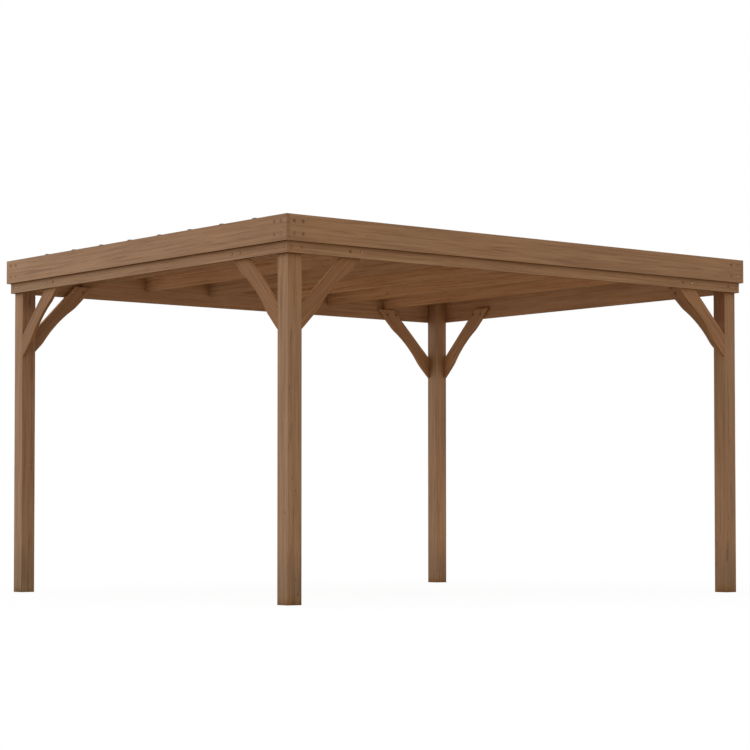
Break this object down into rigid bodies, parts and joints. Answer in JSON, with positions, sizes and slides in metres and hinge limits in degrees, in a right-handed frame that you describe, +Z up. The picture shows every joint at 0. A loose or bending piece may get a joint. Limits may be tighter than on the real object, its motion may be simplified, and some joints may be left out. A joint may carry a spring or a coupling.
{
  "type": "wooden pergola",
  "caption": "Free-standing wooden garden pergola with square posts, doubled beam boards, arched knee braces, rafters and a closed flat roof with ribbed sheets.",
  "frame": {"origin": "on the floor, in the middle of the plan", "axes": "+X along the long side, +Y to the back, +Z up"},
  "size_m": [4.6, 3.766, 2.689],
  "materials": {
    "post_timber": "stained sawn timber with rounded edges",
    "board_timber": "stained sawn boards",
    "brace_timber": "stained sawn timber",
    "rafter_timber": "stained sawn timber",
    "roof_boards": "stained planed boards",
    "roof_steel": "dark brown coated steel sheet"
  },
  "bodies": {
    "root": {"post_front_left": "post_timber", "post_front_right": "post_timber", "post_back_left": "post_timber", "post_back_right": "post_timber", "beam_front": "board_timber", "beam_back": "board_timber", "beam_left": "board_timber", "beam_right": "board_timber", "fascia_front": "board_timber", "fascia_back": "board_timber", "fascia_left": "board_timber", "fascia_right": "board_timber", "rafter_1": "rafter_timber", "rafter_2": "rafter_timber", "rafter_3": "rafter_timber", "rafter_4": "rafter_timber", "rafter_5": "rafter_timber", "rafter_6": "rafter_timber", "front_brace_left": "brace_timber", "front_brace_right": "brace_timber", "back_brace_left": "brace_timber", "back_brace_right": "brace_timber", "left_brace_front": "brace_timber", "left_brace_back": "brace_timber", "right_brace_front": "brace_timber", "right_brace_back": "brace_timber", "roof_boards": "roof_boards", "roof_sheet_1": "roof_steel", "roof_sheet_2": "roof_steel", "roof_sheet_3": "roof_steel", "roof_sheet_4": "roof_steel"}
  },
  "joints": []
}
